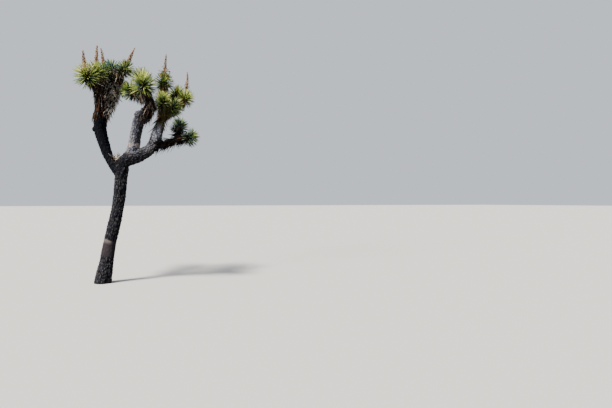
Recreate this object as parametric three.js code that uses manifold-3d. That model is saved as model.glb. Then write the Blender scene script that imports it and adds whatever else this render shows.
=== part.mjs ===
// A Joshua tree, a tree yucca of the high desert, about 4.8 m tall with its spent flower stalks.
// A leaning corky trunk forks at head height into a left and a right bough. They fork again into
// stout arms thatched with dead leaves, and each arm ends in heads of stiff dagger leaves.
//
// Millimetres, +Z up. The origin is at the middle of the trunk's foot, on the ground, and +Y points
// away from someone who looks at the tree from the front.
import * as THREE from "three";
import { mergeVertices } from "three/addons/utils/BufferGeometryUtils.js";
import Module from "manifold-3d";

const wasm = await Module();
wasm.setup();

// Driving dimensions
const GAP = 0.4; // clear space between pieces that meet
const SMALLEST_STEP = 0.5; // detail finer than this is smoothed out where leaves meet
const GROUND = 0; // height of the flat cut under the trunk
const FLARE_HEIGHT = 170; // how fast the root flare dies away up the trunk
const FLARE_GROWTH = 0.12; // how much the flare adds to the trunk's radius at the ground
const FLARE_LOBES = 5; // buttresses round the foot
const GNARL = 0.03; // how far a limb's surface strays from round, as a share of its radius
const TRUNK_SIDES = 20;
const TRUNK_RING_SPACING = 92; // distance between the trunk's rings
const PLATE_DEPTH = 13; // from the furrows between the trunk's corky plates to their ridges
const PLATE_RINGS = 2; // rings to a row of plates, with the next row half a plate round
const WORN_BAND = [470, 850]; // heights between which the trunk's bark is worn smooth
const BOUGH_SIDES = 11;
const BOUGH_RING_SPACING = 130;
const DOME = 0.75; // length of a limb's rounded tip, in radii
const STEM_RADIUS = 58; // a leaf head's own stem, at its root
const STEM_TAPER = 0.62; // its radius at the tip, as a share
const STEM_SIDES = 7;
const STEM_RING_SPACING = 110;
const CORE_RADIUS = 80; // the heart of a head, where the leaf bases crowd together
const CORE_HALF_LENGTH = 106;
const LEAF_WIDTH = 68; // at its root; wider than life, as each leaf stands for several
const LEAF_THICKNESS_SHARE = 0.3; // of its width
const LEAVES_PER_HEAD = 31;
const LEAF_SPREAD = [8, 128]; // angles from the head's axis, youngest to oldest leaf, in degrees
const YOUNGEST_ROOT = 45; // leaf roots along the stem, from past the head's centre ...
const OLDEST_ROOT = -85; // ... to below it
const SHORTEST_LEAF = 0.62; // a leaf cut shorter than this share of its reach is left out
const LEAF_JITTER = 0.1; // how far a leaf strays from its place, in radians
const LEAF_CLEARANCE = 14; // between a leaf's middle line and any neighbour's space
const STALK_RADIUS = 13; // of a spent flower stalk where it leaves the leaves ...
const PANICLE_RADIUS = 25; // ... and where the stubs of its flower panicle stand
const PANICLE_START = 0.5; // as a share of the stalk's length
const STALK_SIDES = 5;
const STALK_TWIGS = 6; // the longest of the stubs
const STALK_TWIG_LENGTH = 85;
const STALK_TWIG_WIDTH = 30;
const GOLDEN_ANGLE = Math.PI * (3 - Math.sqrt(5));

const BARK = { color: 0x4a423c, roughness: 0.95, metalness: 0 };
const THATCH = { color: 0x5e4a38, roughness: 0.95, metalness: 0 };
const LEAVES = { color: 0x7f8c4a, roughness: 0.6, metalness: 0 };

// The points that each limb's middle line passes through, as x, y, z and radius, from its root
// inside its parent to its tip. The arms' radii take in their coat of dead leaves.
const LIMBS = {
  trunk: [
    [0, 0, -60, 150],
    [22, 0, 140, 138],
    [78, 0, 470, 124],
    [150, 8, 840, 114],
    [238, 18, 1260, 114],
    [314, 28, 1720, 114],
    [346, 30, 2080, 122],
    [372, 22, 2380, 138],
  ],
  left_bough: [
    [290, 30, 2200, 92],
    [144, 85, 2442, 84],
    [63, 145, 2644, 97],
    [0, 200, 2849, 107],
    [-45, 250, 3054, 118],
    [-52, 290, 3241, 105],
    [-58, 300, 3370, 100],
  ],
  left_outer_arm: [
    [-58, 295, 3240, 102],
    [-58, 275, 3482, 106],
    [-68, 225, 3663, 100],
    [-98, 150, 3835, 99],
    [-132, 100, 3950, 92],
  ],
  left_inner_arm: [
    [-30, 305, 3290, 92],
    [89, 360, 3498, 106],
    [165, 430, 3714, 126],
    [182, 500, 3937, 148],
    [182, 560, 4120, 138],
    [184, 595, 4230, 118],
  ],
  rear_left_arm: [
    [-20, 280, 2980, 90],
    [0, 500, 3280, 90],
    [70, 760, 3640, 98],
    [110, 900, 3900, 98],
  ],
  right_bough: [
    [329, 25, 2262, 120],
    [411, -20, 2424, 134],
    [560, -80, 2494, 142],
    [770, -150, 2578, 121],
    [985, -205, 2738, 103],
  ],
  middle_arm: [
    [530, -70, 2560, 118],
    [590, -110, 2800, 114],
    [620, -160, 3020, 108],
    [660, -210, 3210, 113],
    [690, -235, 3360, 116],
  ],
  middle_upper_arm: [
    [712, -230, 3215, 95],
    [775, -250, 3290, 118],
    [830, -275, 3420, 122],
    [862, -300, 3558, 114],
    [850, -335, 3690, 104],
    [828, -350, 3765, 96],
  ],
  right_upper_arm: [
    [980, -200, 2710, 97],
    [1015, -130, 2910, 96],
    [1083, -50, 3162, 93],
    [1150, 15, 3370, 97],
    [1180, 25, 3490, 98],
  ],
  rear_right_arm: [
    [880, -170, 2690, 88],
    [990, 80, 2910, 84],
    [1100, 340, 3200, 84],
    [1220, 600, 3540, 90],
  ],
  right_low_arm: [
    [950, -200, 2715, 100],
    [1120, -260, 2760, 105],
    [1270, -330, 2795, 103],
    [1395, -385, 2875, 94],
  ],
};

// Lumps on a limb, as x, y, z and radius: the scars of lost arms.
const KNOBS = {
  left_bough: [
    [-136, 250, 3065, 60],
    [-115, 290, 3358, 72],
  ],
  middle_arm: [[664, -270, 3322, 92]],
};

// Each head of leaves: the point in its arm that its stem grows from, the middle of its ball of
// leaves, how far its leaves reach from there and, where it has flowered, the tip of its stalk.
const HEADS = {
  left_front_head: {
    base: [-125, 110, 3890],
    centre: [-281, -117, 4042],
    reach: 290,
    stalk: [-345, -110, 4520],
  },
  left_top_head: {
    base: [-118, 120, 3890],
    centre: [-120, 130, 4180],
    reach: 260,
    stalk: [-100, 150, 4730],
  },
  left_back_head: {
    base: [-80, 195, 3700],
    centre: [40, 420, 4260],
    reach: 245,
    stalk: [-30, 440, 4755],
  },
  inner_back_head: { base: [184, 590, 4180], centre: [180, 800, 4450], reach: 245 },
  inner_top_head: {
    base: [184, 565, 4100],
    centre: [433, 430, 4385],
    reach: 226,
    stalk: [620, 440, 4850],
  },
  inner_low_head: { base: [184, 560, 4050], centre: [362, 845, 4085], reach: 240 },
  rear_left_top_head: { base: [110, 900, 3880], centre: [50, 1040, 4250], reach: 238 },
  rear_left_low_head: { base: [110, 900, 3880], centre: [143, 1250, 4096], reach: 235 },
  middle_front_head: { base: [822, -350, 3750], centre: [725, -520, 3872], reach: 325 },
  middle_left_head: { base: [830, -330, 3680], centre: [518, -90, 3820], reach: 225 },
  middle_rear_head: { base: [830, -340, 3700], centre: [726, -50, 4114], reach: 245 },
  right_tall_head: {
    base: [1165, 10, 3450],
    centre: [1194, 190, 4122],
    reach: 240,
    stalk: [1240, 210, 4720],
  },
  right_front_head: { base: [1175, 15, 3470], centre: [1129, -200, 3640], reach: 245 },
  right_hanging_head: { base: [1180, 15, 3470], centre: [1338, -130, 3550], reach: 255 },
  right_outer_head: {
    base: [1185, 20, 3480],
    centre: [1638, 200, 3835],
    reach: 226,
    stalk: [1680, 220, 4400],
  },
  right_rear_head: { base: [1180, 30, 3470], centre: [1493, 420, 3943], reach: 232 },
  rear_right_top_head: { base: [1220, 600, 3520], centre: [1310, 760, 3820], reach: 225 },
  rear_right_low_head: { base: [1220, 600, 3520], centre: [1490, 1030, 3780], reach: 235 },
  low_upright_head: { base: [1390, -380, 2870], centre: [1440, -330, 3130], reach: 214 },
  low_outer_head: { base: [1390, -380, 2870], centre: [1615, -507, 2898], reach: 216 },
};

const vector = ([x, y, z]) => new THREE.Vector3(x, y, z);

// A repeatable stream of numbers from 0 to 1.
function seededRandom(seed) {
  let state = seed;
  return () => {
    state = (state + 0x6d2b79f5) | 0;
    let t = Math.imul(state ^ (state >>> 15), 1 | state);
    t = (t + Math.imul(t ^ (t >>> 7), 61 | t)) ^ t;
    return ((t ^ (t >>> 14)) >>> 0) / 4294967296;
  };
}

// A closed geometry's corners, shared between its faces.
function welded(geometry) {
  const bare = geometry.clone();
  bare.deleteAttribute("normal");
  bare.deleteAttribute("uv");
  return mergeVertices(bare, 1e-3);
}

// The same form, grown outwards by a distance.
function grown(geometry, distance) {
  const fat = welded(geometry);
  fat.computeVertexNormals();
  const { position, normal } = fat.attributes;
  for (let i = 0; i < position.count; i++)
    position.setXYZ(
      i,
      position.getX(i) + normal.getX(i) * distance,
      position.getY(i) + normal.getY(i) * distance,
      position.getZ(i) + normal.getZ(i) * distance,
    );
  return fat;
}

function solidOf(geometry) {
  const closed = welded(geometry);
  return new wasm.Manifold(
    new wasm.Mesh({
      numProp: 3,
      vertProperties: closed.attributes.position.array,
      triVerts: new Uint32Array(closed.index.array),
    }),
  );
}

function geometryOf(solid) {
  const { vertProperties, triVerts } = solid.getMesh();
  return new THREE.BufferGeometry()
    .setAttribute("position", new THREE.BufferAttribute(vertProperties, 3))
    .setIndex(new THREE.BufferAttribute(triVerts, 1));
}

// The largest piece of a solid, so that a cut leaves no loose scrap.
function largest(solid) {
  return solid
    .decompose()
    .reduce((a, b) => (b.volume() > a.volume() ? b : a));
}

// A tapering tube along a curve: a cylinder whose rings are moved along the curve and sized there.
// radiusAt takes the share of the curve's length and the angle round it.
function bentCylinder(curve, radiusAt, sides, rings) {
  const geometry = new THREE.CylinderGeometry(1, 1, 1, sides, rings);
  const frames = curve.computeFrenetFrames(rings, false);
  const { position } = geometry.attributes;
  for (let i = 0; i < position.count; i++) {
    const share = position.getY(i) + 0.5;
    const ring = Math.round(share * rings);
    const angle = Math.atan2(position.getZ(i), position.getX(i));
    const round = Math.hypot(position.getX(i), position.getZ(i));
    const radius = round * radiusAt(share, angle);
    const place = curve
      .getPointAt(share)
      .addScaledVector(frames.normals[ring], -radius * Math.cos(angle))
      .addScaledVector(frames.binormals[ring], radius * Math.sin(angle));
    position.setXYZ(i, place.x, place.y, place.z);
  }
  return geometry;
}

// How far the trunk's bark stands in or out at each ring and side: plates of seeded heights, in
// staggered rows with furrows between them, on all but the worn band.
function plateRelief(curve, sides, rings, random) {
  return Array.from({ length: rings + 1 }, (_, ring) => {
    const height = curve.getPointAt(ring / rings).z;
    const worn = height > WORN_BAND[0] && height < WORN_BAND[1];
    return Array.from({ length: sides }, (_, side) => {
      const ridge = (side + Math.floor(ring / PLATE_RINGS)) % 2 === 0;
      const share = ridge ? 0.35 + 0.3 * random() : -0.35 - 0.3 * random();
      return worn ? 0 : PLATE_DEPTH * share;
    });
  });
}

// A limb through the points of its row in LIMBS, gnarled by a seeded rule, with a rounded tip.
function limbGeometry(name, seed) {
  const row = LIMBS[name];
  const curve = new THREE.CatmullRomCurve3(row.map(vector), false, "centripetal");
  const length = curve.getLength();
  const isTrunk = name === "trunk";
  const rings = Math.round(length / (isTrunk ? TRUNK_RING_SPACING : BOUGH_RING_SPACING));
  const sides = isTrunk ? TRUNK_SIDES : BOUGH_SIDES;
  const random = seededRandom(seed);
  const phases = Array.from({ length: 4 }, () => random() * 2 * Math.PI);
  const plates = isTrunk ? plateRelief(curve, sides, rings, random) : null;
  const tip = row[row.length - 1][3] * DOME;
  const radiusAt = (share, angle) => {
    const along = curve.getUtoTmapping(share) * (row.length - 1);
    const from = Math.min(Math.floor(along), row.length - 2);
    const radius = THREE.MathUtils.lerp(row[from][3], row[from + 1][3], along - from);
    const gnarl =
      Math.sin(2 * angle + phases[0] + share * 5) +
      Math.sin(3 * angle + phases[1] - share * 9) +
      Math.sin(angle + phases[2] + share * 14);
    const height = curve.getPointAt(share).z;
    const lobes = 1 + 0.5 * Math.sin(FLARE_LOBES * angle + phases[3]);
    const flare = isTrunk ? FLARE_GROWTH * Math.exp(-height / FLARE_HEIGHT) * lobes : 0;
    const side = Math.round((angle / (2 * Math.PI) + 1) * sides) % sides;
    const plate = isTrunk ? plates[Math.round(share * rings)][side] : 0;
    const toTip = (1 - share) * length;
    const dome = toTip < tip ? Math.sqrt(1 - (1 - toTip / tip) ** 2) * 0.75 + 0.25 : 1;
    return (radius * (1 + GNARL * gnarl + flare) + plate) * dome;
  };
  return bentCylinder(curve, radiusAt, sides, rings);
}

const knobGeometry = ([x, y, z, radius]) => new THREE.IcosahedronGeometry(radius, 1).translate(x, y, z);

// A dagger leaf: a three-sided cone from its root to its tip, flat on the side that faces the
// head's axis and keeled on the other.
function leafGeometry(root, tip, axis, width) {
  const length = root.distanceTo(tip);
  const along = tip.clone().sub(root).normalize();
  const across = new THREE.Vector3().crossVectors(axis, along).normalize();
  const keel = new THREE.Vector3().crossVectors(across, along);
  const place = new THREE.Matrix4().makeBasis(
    across.multiplyScalar(width / Math.sqrt(3)),
    along.multiplyScalar(length),
    keel.multiplyScalar((width * LEAF_THICKNESS_SHARE) / 1.5),
  );
  return new THREE.ConeGeometry(1, 1, 3).translate(0, 0.5, 0).applyMatrix4(place.setPosition(root));
}

// How a head grows: its stem's curve, its axis and a frame round that axis.
function growthOf(head) {
  const base = vector(head.base);
  const centre = vector(head.centre);
  const rise = centre.clone().sub(base).normalize();
  const axis = rise.clone().add(new THREE.Vector3(0, 0, 0.6)).normalize();
  const tip = centre.clone().addScaledVector(axis, YOUNGEST_ROOT);
  const bend = base.clone().lerp(centre, 0.6).addScaledVector(axis, -base.distanceTo(centre) * 0.06);
  const east = new THREE.Vector3().crossVectors(axis, new THREE.Vector3(0.3, 1, 0.1)).normalize();
  return {
    base,
    centre,
    axis,
    tip,
    east,
    north: new THREE.Vector3().crossVectors(axis, east),
    curve: new THREE.CatmullRomCurve3([base, bend, tip], false, "centripetal"),
  };
}

// Points along every limb and stem, with the radius there, that a leaf has to stay clear of.
function obstaclesOf(growths) {
  const rows = [];
  for (const [name, row] of Object.entries(LIMBS)) {
    const curve = new THREE.CatmullRomCurve3(row.map(vector), false, "centripetal");
    for (let i = 0; i <= 40; i++) {
      const along = curve.getUtoTmapping(i / 40) * (row.length - 1);
      const from = Math.min(Math.floor(along), row.length - 2);
      const radius = THREE.MathUtils.lerp(row[from][3], row[from + 1][3], along - from);
      rows.push({ owner: name, point: curve.getPointAt(i / 40), radius: radius * (1 + 2 * GNARL) });
    }
  }
  for (const [name, growth] of Object.entries(growths))
    for (let i = 0; i <= 16; i++)
      rows.push({ owner: name, point: growth.curve.getPointAt(i / 16), radius: STEM_RADIUS });
  return rows;
}

// True if a point is nearer to its own head than to any other, and clear of the limbs.
function isFree(point, name, growths, obstacles) {
  const own = point.distanceTo(growths[name].centre);
  for (const [other, growth] of Object.entries(growths))
    if (other !== name && point.distanceTo(growth.centre) < own + 2 * LEAF_CLEARANCE) return false;
  return obstacles.every(
    (o) => o.owner === name || point.distanceTo(o.point) > o.radius + LEAF_CLEARANCE,
  );
}

// The direction of a leaf by the head's rule: a golden spiral from the oldest leaf, bent back
// along the stem, to the youngest, upright at its tip.
function leafDirection(growth, k, count, random) {
  const [youngest, oldest] = LEAF_SPREAD.map((d) => Math.cos(THREE.MathUtils.degToRad(d)));
  const age = (k + 0.5) / count;
  const tilt = Math.acos(THREE.MathUtils.lerp(oldest, youngest, age)) + (random() - 0.5) * LEAF_JITTER;
  const turn = k * GOLDEN_ANGLE + (random() - 0.5) * LEAF_JITTER;
  return growth.axis
    .clone()
    .multiplyScalar(Math.cos(tilt))
    .addScaledVector(growth.east, Math.sin(tilt) * Math.cos(turn))
    .addScaledVector(growth.north, Math.sin(tilt) * Math.sin(turn));
}

// The leaves of a head. A leaf that would enter another head's space or touch a limb is cut
// shorter, and left out when too little of it would be left.
function leavesOf(name, head, growths, obstacles, seed) {
  const growth = growths[name];
  const random = seededRandom(seed);
  const leaves = [];
  for (let k = 0; k < LEAVES_PER_HEAD; k++) {
    const direction = leafDirection(growth, k, LEAVES_PER_HEAD, random);
    const age = (k + 0.5) / LEAVES_PER_HEAD;
    const root = growth.centre
      .clone()
      .addScaledVector(growth.axis, THREE.MathUtils.lerp(OLDEST_ROOT, YOUNGEST_ROOT * 0.5, age));
    const tip = growth.centre.clone().addScaledVector(direction, head.reach * (0.94 + 0.06 * random()));
    let share = 0.25;
    while (share < 1 && isFree(root.clone().lerp(tip, share + 0.05), name, growths, obstacles)) share += 0.05;
    if (share < SHORTEST_LEAF) continue;
    leaves.push(leafGeometry(root, root.clone().lerp(tip, Math.min(share, 1)), growth.axis, LEAF_WIDTH));
  }
  return leaves;
}

// A spent flower stalk: a thin spike with the stubs of its panicle standing off it in turn.
function stalkOf(growth, stalk, seed) {
  const top = vector(stalk);
  const root = growth.centre.clone().addScaledVector(growth.axis, -10);
  const middle = root.clone().lerp(top, 0.5).addScaledVector(growth.axis, root.distanceTo(top) * 0.06);
  const curve = new THREE.CatmullRomCurve3([root, middle, top], false, "centripetal");
  const radiusAt = (share) =>
    share < PANICLE_START
      ? STALK_RADIUS
      : PANICLE_RADIUS * THREE.MathUtils.lerp(1, 0.16, (share - PANICLE_START) / (1 - PANICLE_START));
  const pieces = [bentCylinder(curve, radiusAt, STALK_SIDES, 5)];
  const random = seededRandom(seed);
  for (let k = 0; k < STALK_TWIGS; k++) {
    const share = THREE.MathUtils.lerp(PANICLE_START + 0.1, 0.86, k / (STALK_TWIGS - 1));
    const from = curve.getPointAt(share);
    const turn = k * GOLDEN_ANGLE + random();
    const out = growth.east
      .clone()
      .multiplyScalar(Math.cos(turn))
      .addScaledVector(growth.north, Math.sin(turn))
      .addScaledVector(growth.axis, 1.1)
      .normalize();
    const length = STALK_TWIG_LENGTH * (1.2 - 0.6 * share);
    pieces.push(leafGeometry(from, from.clone().addScaledVector(out, length), growth.axis, STALK_TWIG_WIDTH));
  }
  return pieces;
}

// The heart of a head, an upright lump round the end of its stem.
function coreOf(growth) {
  const middle = growth.centre.clone().addScaledVector(growth.axis, (OLDEST_ROOT + YOUNGEST_ROOT) / 2);
  const place = new THREE.Matrix4().makeBasis(
    growth.east.clone().multiplyScalar(CORE_RADIUS),
    growth.north.clone().multiplyScalar(CORE_RADIUS),
    growth.axis.clone().multiplyScalar(CORE_HALF_LENGTH),
  );
  return new THREE.IcosahedronGeometry(1, 0).applyMatrix4(place.setPosition(middle));
}

// The head's stem, tapering to its end inside the core.
function stemOf(growth) {
  const rings = Math.max(2, Math.round(growth.curve.getLength() / STEM_RING_SPACING));
  const radiusAt = (share) => STEM_RADIUS * THREE.MathUtils.lerp(1, STEM_TAPER, share);
  return bentCylinder(growth.curve, radiusAt, STEM_SIDES, rings);
}

const tree = new THREE.Group();

function addNode(name, solid, finish) {
  const mesh = new THREE.Mesh(geometryOf(solid), new THREE.MeshStandardMaterial(finish));
  mesh.name = name;
  tree.add(mesh);
}

// Limbs: each is cut clear of the limbs before it, and the trunk is cut flat at the ground.
const limbFats = {};
function buildLimbs() {
  Object.keys(LIMBS).forEach((name, i) => {
    const forms = [limbGeometry(name, 11 + i), ...(KNOBS[name] ?? []).map(knobGeometry)];
    let solid = wasm.Manifold.union(forms.map(solidOf));
    for (const fat of Object.values(limbFats)) solid = solid.subtract(fat);
    if (name === "trunk") solid = solid.trimByPlane([0, 0, 1], GROUND);
    limbFats[name] = wasm.Manifold.union(forms.map((form) => solidOf(grown(form, GAP))));
    addNode(name, largest(solid), name.includes("arm") ? THATCH : BARK);
  });
}

// Heads: stem, leaves and stalk fused into one solid, cut clear of the limbs and of earlier stems.
function buildHeads() {
  const growths = Object.fromEntries(Object.entries(HEADS).map(([name, head]) => [name, growthOf(head)]));
  const obstacles = obstaclesOf(growths);
  const stemFats = {};
  Object.entries(HEADS).forEach(([name, head], i) => {
    const growth = growths[name];
    const stem = stemOf(growth);
    const leaves = leavesOf(name, head, growths, obstacles, 101 + i);
    const stalk = head.stalk ? stalkOf(growth, head.stalk, 201 + i) : [];
    const forms = [stem, coreOf(growth), ...leaves, ...stalk];
    let solid = wasm.Manifold.union(forms.map(solidOf)).simplify(SMALLEST_STEP);
    for (const fat of Object.values(limbFats)) solid = solid.subtract(fat);
    for (const fat of Object.values(stemFats)) solid = solid.subtract(fat);
    stemFats[name] = solidOf(grown(stem, GAP));
    addNode(name, largest(solid), LEAVES);
  });
}

buildLimbs();
buildHeads();

export default tree;
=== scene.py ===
"""A Joshua tree: corky bark over the trunk and arms, a thatch of dead leaves on the arms, heads of
living dagger leaves and spent flower stalks. Metres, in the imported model's own frame: the origin
is the middle of the trunk's foot, +Z is up and +Y points away from the camera's side."""

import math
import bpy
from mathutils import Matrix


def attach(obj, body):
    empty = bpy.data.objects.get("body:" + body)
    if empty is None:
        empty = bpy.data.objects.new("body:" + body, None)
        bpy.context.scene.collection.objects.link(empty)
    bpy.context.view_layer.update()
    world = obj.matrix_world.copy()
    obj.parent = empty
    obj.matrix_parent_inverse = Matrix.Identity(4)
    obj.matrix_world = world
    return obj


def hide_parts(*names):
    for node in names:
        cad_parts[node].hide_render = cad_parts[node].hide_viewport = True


bl_info = {
    "name": "Joshua Tree",
    "version": (1, 0, 0),
    "blender": (4, 5, 0),
    "location": "View3D > Sidebar > Joshua Tree",
    "description": "Dresses a tree yucca with bark, dead leaves, living leaves and flower stalks",
    "category": "Object",
}

import bpy
import numpy as np
from bpy.props import FloatProperty, FloatVectorProperty, IntProperty, PointerProperty
from mathutils import Vector

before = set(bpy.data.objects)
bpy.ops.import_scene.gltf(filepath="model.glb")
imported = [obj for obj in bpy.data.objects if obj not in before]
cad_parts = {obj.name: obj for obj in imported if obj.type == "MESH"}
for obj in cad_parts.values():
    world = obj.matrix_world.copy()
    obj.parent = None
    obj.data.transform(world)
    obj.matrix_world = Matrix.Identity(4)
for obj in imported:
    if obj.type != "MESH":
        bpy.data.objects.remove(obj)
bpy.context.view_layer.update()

MM = 0.001
GOLDEN_ANGLE = math.pi * (3 - math.sqrt(5))

# The middle line of each limb from its root to its tip, as x, y, z and radius in millimetres.
LIMBS = {
    "trunk": [
        (0, 0, -60, 150),
        (22, 0, 140, 138),
        (78, 0, 470, 124),
        (150, 8, 840, 114),
        (238, 18, 1260, 114),
        (314, 28, 1720, 114),
        (346, 30, 2080, 122),
        (372, 22, 2380, 138),
    ],
    "left_bough": [
        (290, 30, 2200, 92),
        (144, 85, 2442, 84),
        (63, 145, 2644, 97),
        (0, 200, 2849, 107),
        (-45, 250, 3054, 118),
        (-52, 290, 3241, 105),
        (-58, 300, 3370, 100),
    ],
    "left_outer_arm": [
        (-58, 295, 3240, 102),
        (-58, 275, 3482, 106),
        (-68, 225, 3663, 100),
        (-98, 150, 3835, 99),
        (-132, 100, 3950, 92),
    ],
    "left_inner_arm": [
        (-30, 305, 3290, 92),
        (89, 360, 3498, 106),
        (165, 430, 3714, 126),
        (182, 500, 3937, 148),
        (182, 560, 4120, 138),
        (184, 595, 4230, 118),
    ],
    "rear_left_arm": [
        (-20, 280, 2980, 90),
        (0, 500, 3280, 90),
        (70, 760, 3640, 98),
        (110, 900, 3900, 98),
    ],
    "right_bough": [
        (329, 25, 2262, 120),
        (411, -20, 2424, 134),
        (560, -80, 2494, 142),
        (770, -150, 2578, 121),
        (985, -205, 2738, 103),
    ],
    "middle_arm": [
        (530, -70, 2560, 118),
        (590, -110, 2800, 114),
        (620, -160, 3020, 108),
        (660, -210, 3210, 113),
        (690, -235, 3360, 116),
    ],
    "middle_upper_arm": [
        (712, -230, 3215, 95),
        (775, -250, 3290, 118),
        (830, -275, 3420, 122),
        (862, -300, 3558, 114),
        (850, -335, 3690, 104),
        (828, -350, 3765, 96),
    ],
    "right_upper_arm": [
        (980, -200, 2710, 97),
        (1015, -130, 2910, 96),
        (1083, -50, 3162, 93),
        (1150, 15, 3370, 97),
        (1180, 25, 3490, 98),
    ],
    "rear_right_arm": [
        (880, -170, 2690, 88),
        (990, 80, 2910, 84),
        (1100, 340, 3200, 84),
        (1220, 600, 3540, 90),
    ],
    "right_low_arm": [
        (950, -200, 2715, 100),
        (1120, -260, 2760, 105),
        (1270, -330, 2795, 103),
        (1395, -385, 2875, 94),
    ],
}

# The middles of the lumps on the limbs.
KNOBS = [(-136, 250, 3065), (-115, 290, 3358), (664, -270, 3322)]

# Each head of leaves: where its stem starts, the middle of its ball of leaves and their reach, in
# millimetres, the tip of its flower stalk or None, and its mixes of living and dead leaf shades.
HEADS = {
    "left_front_head": ((-125, 110, 3890), (-281, -117, 4042), 290, (-345, -110, 4520), "lime", "dark"),
    "left_top_head": ((-118, 120, 3890), (-120, 130, 4180), 260, (-100, 150, 4730), "bright", "dark"),
    "left_back_head": ((-80, 195, 3700), (40, 420, 4260), 245, (-30, 440, 4755), "teal", "dark"),
    "inner_back_head": ((184, 590, 4180), (180, 800, 4450), 245, None, "blue", "dark"),
    "inner_top_head": ((184, 565, 4100), (433, 430, 4385), 226, (620, 440, 4850), "olive", "dark"),
    "inner_low_head": ((184, 560, 4050), (362, 845, 4085), 240, None, "shaded", "dark"),
    "rear_left_top_head": ((110, 900, 3880), (50, 1040, 4250), 238, None, "olive", "dark"),
    "rear_left_low_head": ((110, 900, 3880), (143, 1250, 4096), 235, None, "bright", "dark"),
    "middle_front_head": ((822, -350, 3750), (725, -520, 3872), 325, None, "bright", "dark"),
    "middle_left_head": ((830, -330, 3680), (518, -90, 3820), 225, None, "shaded", "dark"),
    "middle_rear_head": ((830, -340, 3700), (726, -50, 4114), 245, None, "teal", "dark"),
    "right_tall_head": ((1165, 10, 3450), (1194, 190, 4122), 240, (1240, 210, 4720), "olive", "olive"),
    "right_front_head": ((1175, 15, 3470), (1129, -200, 3640), 245, None, "bright", "olive"),
    "right_hanging_head": ((1180, 15, 3470), (1338, -130, 3550), 255, None, "olive", "olive"),
    "right_outer_head": ((1185, 20, 3480), (1638, 200, 3835), 226, (1680, 220, 4400), "bright", "olive"),
    "right_rear_head": ((1180, 30, 3470), (1493, 420, 3943), 232, None, "bright", "olive"),
    "rear_right_top_head": ((1220, 600, 3520), (1310, 760, 3820), 225, None, "olive", "dark"),
    "rear_right_low_head": ((1220, 600, 3520), (1490, 1030, 3780), 235, None, "bright", "dark"),
    "low_upright_head": ((1390, -380, 2870), (1440, -330, 3130), 214, None, "dark", "black"),
    "low_outer_head": ((1390, -380, 2870), (1615, -507, 2898), 216, None, "dark", "black"),
}

# Heads that are joined into one piece of leaves each.
CLUMPS = {
    "left": [name for name in HEADS if name.startswith(("left", "inner", "rear_left"))],
    "middle": [name for name in HEADS if name.startswith("middle")],
    "right": [name for name in HEADS if name.startswith(("right", "rear_right", "low"))],
}

# The limbs that each piece of bark stands for.
BARK_PIECES = {
    "trunk_bark": ["trunk"],
    "left_bark": ["left_bough"],
    "left_arm_bark": ["left_outer_arm", "left_inner_arm", "rear_left_arm"],
    "right_bark": ["right_bough", "right_low_arm"],
    "right_arm_bark": ["middle_arm", "middle_upper_arm", "right_upper_arm", "rear_right_arm"],
}

# How a head grows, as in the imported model.
OLDEST_ROOT = -85  # mm along the axis from the ball's middle
YOUNGEST_ROOT = 45
LEAF_SPREAD = (8, 128)  # degrees from the axis, youngest leaf to oldest
LEAF_CLEARANCE = 14  # mm
STEM_RADIUS = 58  # mm
LEAF_START = 30  # mm from the stem's middle line, where a leaf comes into sight
STEMS_NEAR = 1.2  # metres from a head's middle, up to which another head's stem may be in the way
LIMBS_NEAR = 0.7  # metres, the same for a limb
LEAF_KEEL = 0.42  # a living leaf's thickness, as a share of its width
DEAD_KEEL = 0.3  # the same for a dead leaf

# The widths of each kind of blade: a share of its length and its width there, as a share of the
# width that is asked for.
LIVING_BLADE = [(0, 1.3), (0.2, 1.0), (0.42, 0.97), (0.72, 0.8), (0.955, 0.22)]
DEAD_BLADE = [(0, 1.0), (0.45, 0.85), (0.85, 0.35)]
STALK_PART = [(0, 1.0), (0.5, 0.9), (0.9, 0.5)]
DRY_POD = [(0, 0.4), (0.35, 1.0), (0.75, 0.8)]

# What each kind of head takes of the shades of living leaf, from lime to night green. Besides the
# leaves' own colours, the pale shades are partly painted sunlight and the dark ones partly painted
# shade: the bright and lime heads are painted as sunlit, the shaded and dark heads as lying in shade.
HEAD_MIXES = {
    "bright": (0.32, 0.26, 0.12, 0.14, 0.03, 0.08, 0.05),
    "lime": (0.46, 0.27, 0.08, 0.10, 0.02, 0.04, 0.03),
    "olive": (0.12, 0.24, 0.26, 0.20, 0.06, 0.08, 0.04),
    "blue": (0.04, 0.05, 0.08, 0.18, 0.50, 0.11, 0.04),
    "teal": (0.06, 0.10, 0.12, 0.26, 0.24, 0.16, 0.06),
    "shaded": (0.05, 0.10, 0.16, 0.18, 0.06, 0.23, 0.22),
    "dark": (0.00, 0.05, 0.10, 0.14, 0.16, 0.27, 0.28),
    "young": (0.02, 0.16, 0.62, 0.12, 0.00, 0.08, 0.00),
}
YOUNG_SHARE = 0.3  # of the leaves of an olive head, which take the mix called young
# Heads with a dense upright bunch of young leaves round the foot of their stalk: how many, their
# length in millimetres and how far they spread in radians.
YOUNG_BUNCHES = {
    "left_top_head": (36, (150, 200), 0.20),
    "inner_top_head": (44, (130, 180), 0.22),
    "right_tall_head": (120, (165, 208), 0.32),
    "right_outer_head": (36, (120, 170), 0.22),
}

# The mixes of the shades of dead leaf, from straw to shadow black. The black mix is painted shade
# on the low arm under the right heads; the bleached mix is partly painted sunlight on the inner arm's
# beard.
DEAD_MIXES = {
    "straw": (0.46, 0.26, 0.06, 0.00, 0.10, 0.12, 0.00),
    "bleached": (0.66, 0.16, 0.02, 0.00, 0.08, 0.06, 0.02),
    "rusty": (0.01, 0.08, 0.25, 0.00, 0.13, 0.42, 0.11),
    "dark": (0.07, 0.13, 0.10, 0.00, 0.22, 0.34, 0.14),
    "olive": (0.04, 0.12, 0.12, 0.56, 0.06, 0.10, 0.00),
    "black": (0.00, 0.00, 0.02, 0.00, 0.05, 0.33, 0.60),
}

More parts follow.
